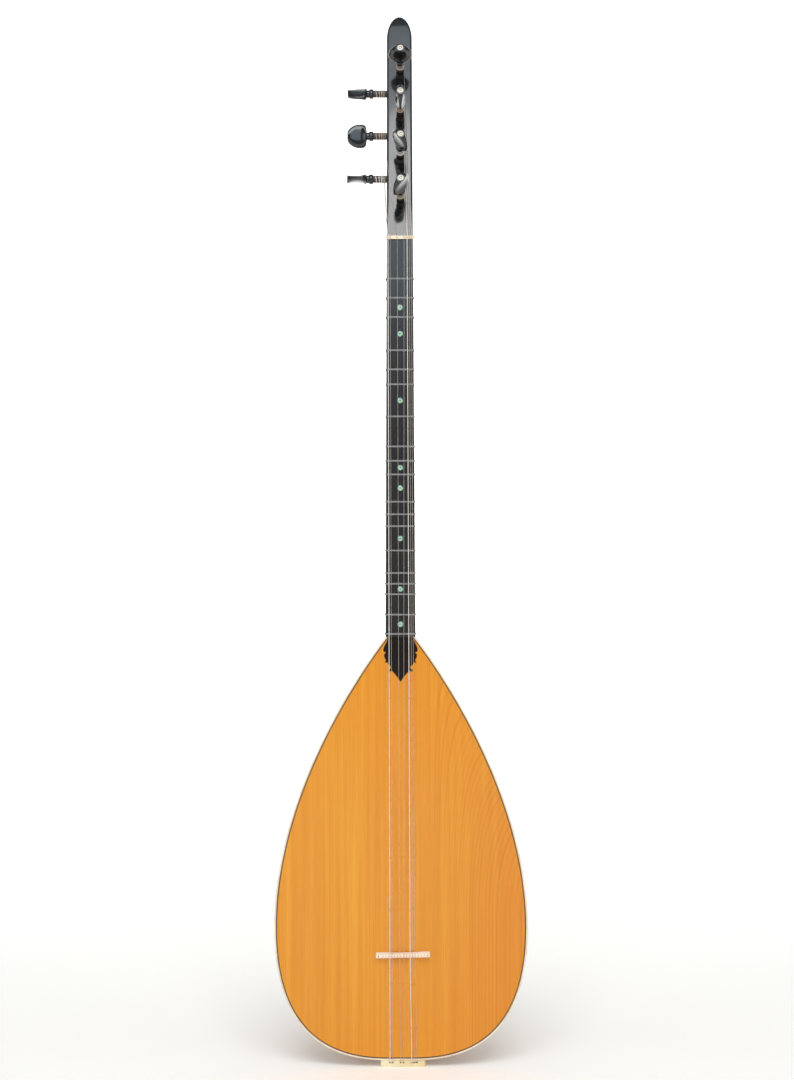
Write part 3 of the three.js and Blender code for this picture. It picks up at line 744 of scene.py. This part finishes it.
def bowl_point(place, angle):
    point = edge(place)[0]
    return Vector((point.x * math.cos(angle), RIM_Y + bowl_depth(place) * math.sin(angle), point.y))


def inset_bowl_point(place, angle, inset):
    nudge = 1e-4
    along = bowl_point(min(place + nudge, 2), angle) - bowl_point(max(place - nudge, 0), angle)
    around = bowl_point(place, angle + nudge) - bowl_point(place, angle - nudge)
    return bowl_point(place, angle) - inset * along.cross(around).normalized()


def seam_angle(seam):
    even = math.pi * seam / STAVE_COUNT
    return even - STAVE_EVENING * math.sin(2 * even)


def stave(index, steps=72, facets=8):
    """One stave, with a fine groove along each of its seams."""
    rings, grain = [], []
    along = 0
    before = bowl_point(0, seam_angle(index + 0.5))
    for step in range(steps + 1):
        place = STAVE_END * step / steps
        start, end = seam_angle(index), seam_angle(index + 1)
        middle = (start + end) / 2
        speed = math.hypot(edge(place)[0].x * math.sin(middle), bowl_depth(place) * math.cos(middle))
        play = SEAM_PLAY / speed
        shoulder = SEAM_GROOVE_HALF / speed
        angles = [start + play, start + shoulder]
        angles += [seam_angle(index + facet / facets) for facet in range(1, facets)]
        angles += [end - shoulder, end - play]
        insets = [SEAM_GROOVE] + [0] * (len(angles) - 2) + [SEAM_GROOVE]
        ring = [inset_bowl_point(place, angle, inset) for angle, inset in zip(angles, insets)]
        inner_angles = [end - play, middle, start + play]
        ring += [inset_bowl_point(place, angle, BOWL_WALL) for angle in inner_angles]
        here = bowl_point(place, middle)
        along += (here - before).length
        before = here
        rings.append(ring)
        across, deeper, further = (step * index for step in STAVE_GRAIN_STEP)
        grain.append([
            (speed * (angle - middle) + across, deeper, along + further)
            for angle in angles + inner_angles
        ])
    return loft(rings, grain)


def cut_by(piece, cutters):
    """Cuts closed shapes out of a piece for good."""
    tool_mesh = bpy.data.meshes.new("cutters")
    tools = joined(cutters)
    tool_mesh.from_pydata([point * MM for point in tools.points], [], tools.faces)
    tool = add_object("cutters", tool_mesh)
    cut = piece.modifiers.new("cut", "BOOLEAN")
    cut.object = tool
    cut.operation = "DIFFERENCE"
    cut.solver = "EXACT"
    bpy.context.view_layer.update()
    evaluated = piece.evaluated_get(bpy.context.evaluated_depsgraph_get())
    piece.data = bpy.data.meshes.new_from_object(evaluated)
    piece.modifiers.clear()
    bpy.data.objects.remove(tool)
    piece.data.set_sharp_from_angle(angle=math.radians(35))


def rod(start, end, radius, sides=48):
    return tube([start, end], radius, sides)


def make_bowl():
    for index in range(STAVE_COUNT):
        piece = stand_in(f"stave_{index + 1:02d}", stave(index), walnut, "walnut")
        if index == (STAVE_COUNT - 1) // 2:
            hole_y = RIM_Y + SOUND_HOLE_DEPTH
            cut_by(piece, [rod((0, hole_y, -30), (0, hole_y, 30), SOUND_HOLE_RADIUS)])
    for node in ("neck_block", "end_block", "lower_brace", "upper_brace"):
        frame["nodes"][node].data.materials.clear()
        frame["nodes"][node].data.materials.append(maple)


# ---- neck, fingerboard, nut and frets ----


def along_neck(z, at_joint, at_nut):
    return blend(at_joint, at_nut, (z - JOINT_Z) / (NUT_Z - JOINT_Z))


def neck_back(z, grow, facets=36):
    half = along_neck(z, NECK_HALF_AT_JOINT, NECK_HALF_AT_NUT) + grow
    depth = along_neck(z, NECK_DEPTH_AT_JOINT, NECK_DEPTH_AT_NUT) + grow
    angles = [math.pi * step / facets for step in range(facets + 1)]
    return [Vector((half * math.cos(a), NECK_TOP_Y + depth * math.sin(a), z)) for a in angles]


def make_neck():
    steps = 24
    rings = [
        neck_back(blend(neck_low.z, neck_high.z, step / steps), 0) for step in range(steps + 1)
    ]
    stand_in("neck", loft(rings), rosewood, "rosewood")

    rings = []
    for z in (fingerboard_low.z, fingerboard_high.z):
        half = along_neck(z, NECK_HALF_AT_JOINT, NECK_HALF_AT_NUT)
        back = NECK_TOP_Y - STRIP_PLAY
        section = ((half, FACE_Y), (half, back), (-half, back), (-half, FACE_Y))
        rings.append([Vector((x, y, z)) for x, y in section])
    stand_in("fingerboard", loft(rings), ebony, "ebony", bevel=0.5)


# Heights of the shell dots as the fret spaces that they stand in, counted from the nut.
DOT_SPACES = (2, 3, 6, 9, 10, 13, 16, 18)
DOT_RADIUS = 2.8
DOT_HEIGHT = 0.12


def fret_height(number):
    low, high = corners(f"fret_{number:02d}")
    return (low.z + high.z) / 2


facing_front = Matrix.Rotation(math.pi / 2, 4, "X")


def make_neck_dots():
    dots = []
    for space in DOT_SPACES:
        z = (fret_height(space) + fret_height(space + 1)) / 2
        spot = Matrix.Translation((0, FACE_Y - 0.01, z)) @ facing_front
        dots.append(disc(DOT_RADIUS, DOT_HEIGHT, spot))
    finish_piece("neck_dots", joined(dots), abalone, ROOT_BODY, slot="bone")


def make_nut():
    half, top, bottom = nut_high.x, nut_low.y, nut_high.y
    corner, play, flare, floor_corner = 0.8, 0.12, 0.15, 0.2
    points = [(-half, bottom), (-half, top + corner), (-half + corner, top)]
    for _, _, nut_x, radius in STRINGS:
        width = radius + play
        floor = FACE_Y - STRING_HEIGHT_AT_NUT + radius
        points += [
            (nut_x - width - flare, top), (nut_x - width, floor - floor_corner),
            (nut_x - width / 2, floor), (nut_x + width / 2, floor),
            (nut_x + width, floor - floor_corner), (nut_x + width + flare, top),
        ]
    points += [(half - corner, top), (half, top + corner), (half, bottom)]
    stand_in("nut", upright_bar(points, nut_low.z, nut_high.z), bone, "bone", bevel=0.12)


FRET_COUNT = 19
FRET_TURNS = 3
FRET_LINE_RADIUS = 0.27
FRET_FACETS = 28
# The facet round the neck's back at which a fret is tied.
KNOT_FACET = 24


def fret_ring(z):
    """The closed route of one turn of line round the neck and the fingerboard."""
    grow = GAP + FRET_LINE_RADIUS
    back = neck_back(z, grow, FRET_FACETS)
    half = back[0].x
    front = FACE_Y - grow
    corner = 0.6
    route = list(back)
    route += [Vector((-half, blend(NECK_TOP_Y, front, share), z)) for share in (0.35, 0.7)]
    route += [Vector((-half, front + corner, z)), Vector((-half + corner, front, z))]
    route += [Vector((half * share, front, z)) for share in (-0.6, -0.2, 0.2, 0.6)]
    route += [Vector((half - corner, front, z)), Vector((half, front + corner, z))]
    route += [Vector((half, blend(NECK_TOP_Y, front, share), z)) for share in (0.7, 0.35)]
    return route


def fret_knot(z, steps=14):
    """The tied end behind the left edge of the neck: a small loop that runs round twice."""
    start = neck_back(z, GAP + 3 * FRET_LINE_RADIUS, FRET_FACETS)[KNOT_FACET]
    path = []
    for step in range(2 * steps + 1):
        turn = 2 * math.pi * step / steps
        path.append(start + Vector((
            0.55 * math.sin(turn / 2), 0.5 * math.cos(turn / 2), 0.8 * math.sin(turn),
        )))
    return tube(path, FRET_LINE_RADIUS, 6)


def make_frets():
    for number in range(1, FRET_COUNT + 1):
        node = f"fret_{number:02d}"
        z = fret_height(number)
        middle = (FRET_TURNS - 1) / 2
        turns = [
            tube(fret_ring(z + (turn - middle) * 2 * FRET_LINE_RADIUS), FRET_LINE_RADIUS, 8, True)
            for turn in range(FRET_TURNS)
        ]
        turns.append(fret_knot(z))
        stand_in(node, joined(turns), nylon, "nylon", node, sharp=180)


# ---- headstock ----

peg_joints = {joint["child"]: joint for joint in frame["joints"] if joint["type"] == "hinge"}
front_axis = Vector(peg_joints["peg_front_1"]["axis"])
up_headstock = Vector((0, front_axis.z, -front_axis.y))
HEADSTOCK_TILT = math.atan2(front_axis.z, -front_axis.y)
head_frame = Matrix.Translation((0, FACE_Y + HEADSTOCK_STEP, NUT_Z)) @ Matrix((
    (1, 0, 0), tuple(-front_axis), tuple(up_headstock),
)).transposed().to_4x4()


def on_head(x, out, along):
    """A point given from the headstock's own axes, out of its front by so much."""
    return head_frame @ Vector((x, -out, along))


def head_section(half, front, back, front_radius, back_radius, steps=7):
    """A rectangle with rounded corners, from the front right corner round the back."""
    corner_arcs = (
        (half - front_radius, front + front_radius, front_radius, -90),
        (half - back_radius, back - back_radius, back_radius, 0),
        (back_radius - half, back - back_radius, back_radius, 90),
        (front_radius - half, front + front_radius, front_radius, 180),
    )
    return [point for arc in corner_arcs for point in rounded_corner(*arc, steps)]


def headstock():
    foot_height = (nut_high.z - nut_low.z) / 2 + GAP
    blend_steps = 10
    tip_steps = 32
    rings = []
    for step in range(blend_steps + 1):
        share = step / blend_steps
        section = head_section(
            HEADSTOCK_HALF, 0, HEADSTOCK_THICKNESS,
            blend(FOOT_FRONT_RADIUS, FRONT_EDGE_RADIUS, share),
            blend(FOOT_BACK_RADIUS, BACK_EDGE_RADIUS, ease(share)),
        )
        ring = []
        for x, y in section:
            foot = (foot_height + y * math.sin(HEADSTOCK_TILT)) / math.cos(HEADSTOCK_TILT)
            ring.append(Vector((x, y, blend(foot, HEADSTOCK_BLEND, share))))
        rings.append(ring)
    for step in range(tip_steps + 1):
        angle = TIP_TURN * step / tip_steps
        narrowing = math.cos(angle)
        z = HEADSTOCK_LENGTH - HEADSTOCK_TIP * (1 - math.sin(angle) / math.sin(TIP_TURN))
        past = max(0, z - HEADSTOCK_LENGTH + TIP_ROUNDING)
        inset = TIP_ROUNDING - math.sqrt(TIP_ROUNDING**2 - past**2)
        half = HEADSTOCK_HALF * narrowing - inset
        section = head_section(
            half,
            TIP_FACE_DROP * (1 - narrowing) + inset,
            HEADSTOCK_THICKNESS - TIP_BACK_DROP * (1 - narrowing) - inset,
            min(FRONT_EDGE_RADIUS, 0.8 * half),
            min(BACK_EDGE_RADIUS, 0.8 * half),
        )
        rings.append([Vector((x, y, z)) for x, y in section])
    return loft(rings).moved(head_frame)


def make_headstock():
    piece = stand_in("headstock", headstock(), lacquer, "lacquer", sharp=40)
    hole = PEG_RADIUS + GAP
    holes = []
    for index in range(len(FRONT_PEG_TURNS)):
        along = FRONT_PEG_START + PEG_SPACING * index
        behind = HEADSTOCK_THICKNESS + HOLE_OVERRUN
        ends = [on_head(PEG_X, out, along) for out in (HOLE_OVERRUN / 2, -behind)]
        holes.append(rod(*ends, hole))
    for index in range(SIDE_PEGS):
        along = SIDE_PEG_START + PEG_SPACING * index
        beside = HEADSTOCK_HALF + HOLE_OVERRUN
        ends = [on_head(x, -SIDE_PEG_DEPTH, along) for x in (-beside, beside)]
        holes.append(rod(*ends, hole))
    cut_by(piece, holes)


# ---- pegs ----

# Distance from the wood, half width across the wings, half thickness, squareness of the section.
PEG_PROFILE = (
    (0, 3.5, 3.5, 2), (13.5, 3.5, 3.5, 2), (13.8, 4.5, 4.5, 2), (14.2, 4.9, 4.9, 2),
    (17.4, 4.9, 4.9, 2), (17.8, 4.5, 4.5, 2), (18.0, 3.8, 3.8, 2), (19.9, 3.8, 3.8, 2),
    (20.3, 5.0, 4.5, 2), (20.6, 7.6, 5.0, 2), (21.0, 9.4, 5.0, 2.1), (21.7, 10.6, 4.8, 2.2),
    (22.8, 11.4, 4.25, 2.3), (24.5, 11.9, 3.5, 2.4), (26.3, 12.0, 3.05, 2.4),
    (28.2, 12.0, 2.82, 2.4), (30.2, 11.8, 2.75, 2.4), (32.2, 11.3, 2.8, 2.4),
    (34.2, 10.5, 2.95, 2.4), (36.2, 9.2, 3.25, 2.3), (37.7, 7.9, 3.6, 2.2), (38.8, 6.6, 3.95, 2.1),
    (39.6, 5.3, 4.25, 2), (39.9, 4.6, 4.3, 2), (40, 4.2, 4.1, 2), (40, 3.2, 3.2, 2),
    (39.5, 3.15, 3.15, 2),
)
# Points round a peg, and how many of its levels belong to the shaft.
PEG_SIDES = 40
SHAFT_LEVELS = 3
PEG_DOT_RADIUS = 3.05
DOT_RECESS = 0.5
WINDING_TURNS = 4.4
WINDING_END = 12.6
WINDING_STEPS = 24
THINNEST_COIL = 0.3


def peg_frame(name, is_front):
    """The frame of a peg: +Z out of the wood along its shaft, before the peg is turned."""
    joint = peg_joints[name]
    outward = Vector(joint["axis"])
    sideways = Vector((1, 0, 0)) if is_front else up_headstock
    turned = Matrix((tuple(sideways), tuple(outward.cross(sideways)), tuple(outward)))
    return Matrix.Translation(Vector(joint["pos_m"]) / MM) @ turned.transposed().to_4x4()


def peg_head(inside_length):
    profile = ((-inside_length, 2.7, 2.7, 2), (-inside_length + 0.3, 3.05, 3.05, 2)) + PEG_PROFILE
    return loft([
        round_section(width, thickness, squareness, z, PEG_SIDES)
        for z, width, thickness, squareness in profile
    ])


def winding(start_angle, start, turns, radius):
    """String wound on a shaft, close at the wood and then crossing out to the collar."""
    steps = round(WINDING_STEPS * turns)
    path = []
    for step in range(steps + 1):
        share = step / steps
        angle = start_angle + 2 * math.pi * turns * share
        z = blend(start, WINDING_END, 0.55 * share + 0.45 * share**3)
        reach = PEG_RADIUS + radius
        path.append((reach * math.cos(angle), reach * math.sin(angle), z))
    return tube(path, radius, 8)


def make_peg(name, is_front, turn, radius):
    surroundings = peg_frame(name, is_front)
    turned = surroundings @ Matrix.Rotation(turn, 4, "Z")
    inside = HEADSTOCK_THICKNESS if is_front else 2 * HEADSTOCK_HALF
    shape = peg_head(inside - PEG_END_DEPTH).moved(turned)
    piece = stand_in(name, shape, peg_ebony, "ebony", name, sharp=50)
    piece.data.materials.append(shaft_wood)
    for face in piece.data.polygons[: SHAFT_LEVELS * PEG_SIDES]:
        face.material_index = 1
    dot_frame = turned @ Matrix.Translation((0, 0, PEG_LENGTH - DOT_RECESS + 0.02))
    dot = disc(PEG_DOT_RADIUS, DOT_RECESS, dot_frame)
    finish_piece(f"{name}_dot", dot, pearl, name, slot="bone")
    start_angle = 0 if is_front else -math.pi / 2
    start = FRONT_WINDING_START if is_front else SIDE_WINDING_START
    coil = winding(start_angle, start, WINDING_TURNS, max(radius, THINNEST_COIL)).moved(surroundings)
    metal = wound_metal if radius == WOUND else plain_metal
    finish_piece(f"{name}_winding", coil, metal, name, slot="steel", sharp=180)


def make_pegs():
    for index, turn in enumerate(SIDE_PEG_TURNS):
        from_headstock = math.radians(turn) - HEADSTOCK_TILT
        make_peg(f"peg_side_{index + 1}", False, from_headstock, STRINGS[index][3])
    for index, turn in enumerate(FRONT_PEG_TURNS):
        make_peg(f"peg_front_{index + 1}", True, math.radians(turn), STRINGS[index + SIDE_PEGS][3])


# ---- bridge and tailpiece ----

BRIDGE_HALF = 26.8
BRIDGE_HEIGHT = 6.4
BRIDGE_BASE_HALF = 2.7
BRIDGE_TOP_HALF = 1.3
BRIDGE_TURN = -1
BRIDGE_ARCH = (15, 2.6)
bridge_place = (
    Matrix.Translation((BRIDGE_X, FACE_Y - 0.02, BRIDGE_Z))
    @ Matrix.Rotation(math.radians(BRIDGE_TURN), 4, "Y")
)


def bridge():
    """Upright bar with a low arch beneath and a fine notch under each string."""
    def edge_height(x):
        top = BRIDGE_HEIGHT - 0.5 * max(0, (abs(x) - 24.6) / 2.2) ** 2
        for _, bridge_x, _, radius in STRINGS:
            near = abs(x + BRIDGE_X - bridge_x) / (radius + 0.18)
            if near < 1:
                top -= 0.35 * math.sqrt(1 - near * near)
        return top

    def foot_height(x):
        reach = abs(x) / BRIDGE_ARCH[0]
        return BRIDGE_ARCH[1] * math.sqrt(1 - reach * reach) if reach < 1 else 0

    steps = 216
    # Heights on the sides, and how far the sides have drawn in there from the base to the top.
    sides = ((3.0, 0.0), (3.8, 0.25), (4.6, 0.65), (5.4, 0.92))
    rings = []
    for step in range(steps + 1):
        x = blend(-BRIDGE_HALF, BRIDGE_HALF, step / steps)
        low, high = foot_height(x), edge_height(x)
        narrowing = 1 - 0.3 * max(0, (abs(x) - BRIDGE_HALF + 0.6) / 0.6) ** 2
        front, back = [], []
        levels = ((low, -0.1), (low + 0.25, 0.0), *sides, (high - 0.15, 1.0), (high, 1.15))
        for height, drawn_in in levels:
            half = blend(BRIDGE_BASE_HALF, BRIDGE_TOP_HALF, drawn_in) * narrowing
            front.append(Vector((x, -height, -half)))
            back.append(Vector((x, -height, half)))
        rings.append(front + back[::-1])
    return loft(rings).moved(bridge_place)


def bridge_notch_shade_and_pins():
    """Dark dots along the top, painted shade of notches that are not cut, and a pin through each foot.
    """
    top = 0.01 - BRIDGE_HEIGHT
    marks = []
    # Painted shade: the dark dots along the top stand for the shade in notches.
    for step in range(-7, 8):
        spot = Matrix.Translation((2.9 * step + 0.5, top, 0.1)) @ facing_front
        marks.append(disc(0.42, 0.03, bridge_place @ spot, 12))
    for x in (-24.2, 24.2):
        spot = Matrix.Translation((x, top, 0)) @ facing_front
        marks.append(disc(0.6, 0.05, bridge_place @ spot, 16))
    return joined(marks)


def make_bridge():
    stand_in("bridge", bridge(), boxwood, "boxwood", "bridge", sharp=50)
    # Dark dots of painted notch shade along the top, and a pin through each foot.
    finish_piece("bridge_notch_shade_and_pins", bridge_notch_shade_and_pins(), walnut, "bridge", slot="walnut")


def make_tailpiece():
    low, high = tailpiece_low, tailpiece_high
    radius = 2.2
    section = [(high.x, high.y), (low.x, high.y)]
    for centre_x, start in ((low.x + radius, 180), (high.x - radius, 270)):
        section += rounded_corner(centre_x, low.y + radius, radius, start, 6)
    piece = stand_in("tailpiece", upright_bar(section, low.z, high.z), tail_maple, "boxwood")
    holes = [
        rod((tail, -20, STRING_HOLE_Z), (tail, 20, STRING_HOLE_Z), STRING_HOLE_RADIUS, 24)
        for tail, *_ in STRINGS
    ]
    cut_by(piece, holes)
    round_edges(piece, 0.35, 40, 2, False)


# ---- strings ----


def rounded_route(points, radius, steps=4):
    """A route whose corners are eased over the given distance."""
    points = [Vector(point) for point in points]
    route = [points[0]]
    for before, here, after in zip(points, points[1:], points[2:]):
        reach = min(radius, (here - before).length / 3, (after - here).length / 3)
        start = here + (before - here).normalized() * reach
        end = here + (after - here).normalized() * reach
        for step in range(steps + 1):
            share = step / steps
            route.append(blend(blend(start, here, share), blend(here, end, share), share))
    route.append(points[-1])
    return route


def head_end(index, radius):
    reach = PEG_RADIUS + radius + 0.02
    if index < SIDE_PEGS:
        along = SIDE_PEG_START + PEG_SPACING * index
        x = -HEADSTOCK_HALF - SIDE_WINDING_START
        return [
            on_head(-HEADSTOCK_HALF - 0.6, -0.2, EDGE_CROSSINGS[index]),
            on_head(x, reach - SIDE_PEG_DEPTH, along),
        ]
    along = FRONT_PEG_START + PEG_SPACING * (index - SIDE_PEGS)
    return [on_head(PEG_X + reach, FRONT_WINDING_START, along)]


def string_route(index):
    tail, over_bridge, nut_x, radius = STRINGS[index]
    over_edge = FACE_Y - radius - 0.3
    bridge_top = FACE_Y - BRIDGE_HEIGHT - radius + 0.25
    over_nut = FACE_Y - STRING_HEIGHT_AT_NUT
    return [
        (tail, tailpiece_high.y - 2, STRING_HOLE_Z),
        (tail, over_edge, STRING_HOLE_Z),
        (tail, over_edge, EDGE_BOTTOM_Z + 1.5),
        (over_bridge, bridge_top, BRIDGE_Z - 0.6),
        (over_bridge, bridge_top, BRIDGE_Z + 0.6),
        (nut_x, over_nut, nut_low.z),
        (nut_x, over_nut, nut_high.z),
        *head_end(index, radius),
    ]


def make_strings():
    for index, (*_, radius) in enumerate(STRINGS):
        shape = tube(rounded_route(string_route(index), 1.2), radius, 10)
        metal = wound_metal if radius == WOUND else plain_metal
        stand_in(f"string_{index + 1}", shape, metal, "steel", sharp=180)


# ---- studio ----

CAMERA_DISTANCE = 2000
CAMERA_HEIGHT = 522.3
CAMERA_X = -3.3
CAMERA_ROLL = 0.1
CAMERA_LENS = 67.3


def make_camera():
    lens = bpy.data.cameras.new("camera")
    lens.lens = CAMERA_LENS
    lens.sensor_width = 36
    camera = add_object("camera", lens)
    camera.location = Vector((CAMERA_X, FACE_Y - CAMERA_DISTANCE, CAMERA_HEIGHT)) * MM
    camera.rotation_euler = (math.pi / 2, math.radians(CAMERA_ROLL), 0)
    bpy.context.scene.camera = camera


def make_sweep():
    """A pale floor that curves up into the backdrop, in metres."""
    front, wall, top = -5.0, 5.0, 6.5
    half_width = 6.0
    radius = 1.5
    steps = 12
    profile = [(front, 0.0), (wall - radius, 0.0)]
    for step in range(1, steps + 1):
        angle = math.pi / 2 * step / steps
        profile.append((wall - radius + radius * math.sin(angle), radius - radius * math.cos(angle)))
    profile.append((wall, top))
    points = [(x, y, z) for y, z in profile for x in (-half_width, half_width)]
    faces = [[2 * i, 2 * i + 1, 2 * i + 3, 2 * i + 2] for i in range(len(profile) - 1)]
    mesh = bpy.data.meshes.new("sweep")
    mesh.from_pydata(points, [], faces)
    mesh.materials.append(backdrop_surface())
    mesh.shade_smooth()
    sweep = add_object("sweep", mesh)


def softbox(name, place, target, width, height, power, tint=(1, 1, 1)):
    """A rectangular light at place, in metres, that faces target."""
    light = bpy.data.lights.new(name, "AREA")
    light.shape = "RECTANGLE"
    light.size, light.size_y = width, height
    light.energy = power
    light.color = tint
    box = add_object(name, light)
    box.location = place
    box.rotation_euler = (Vector(target) - Vector(place)).to_track_quat("-Z", "Y").to_euler()


def make_studio():
    make_sweep()
    softbox("softbox_front", (0, -3.6, 2.1), (0, 0, 0.9), 3.0, 1.9, 36, (0.66, 0.84, 1.0))
    softbox("softbox_top", (0, -2.3, 2.9), (0, -0.6, 0.6), 2.4, 1.42, 52)
    softbox("softbox_ceiling", (0, -1.45, 3.53), (0, 0.25, 1.23), 2.4, 0.7, 6.5, (0.8, 0.92, 1.0))
    for side, name in ((-1, "softbox_left"), (1, "softbox_right")):
        softbox(name, (2.5 * side, -2.0, 0.9), (0, 0, 0.4), 1.2, 1.8, 9)
    world = bpy.data.worlds.new("world")
    world.use_nodes = True
    sky = world.node_tree.nodes["Background"].inputs
    sky["Color"].default_value = (0.8, 0.92, 1, 1)
    sky["Strength"].default_value = 0.3
    bpy.context.scene.world = world
    bpy.context.scene.view_settings.view_transform = "Standard"


make_camera()
make_edge_strips()
make_soundboard()
make_bowl()
make_neck()
make_neck_dots()
make_nut()
make_frets()
make_headstock()
make_pegs()
make_bridge()
make_tailpiece()
make_strings()
make_studio()
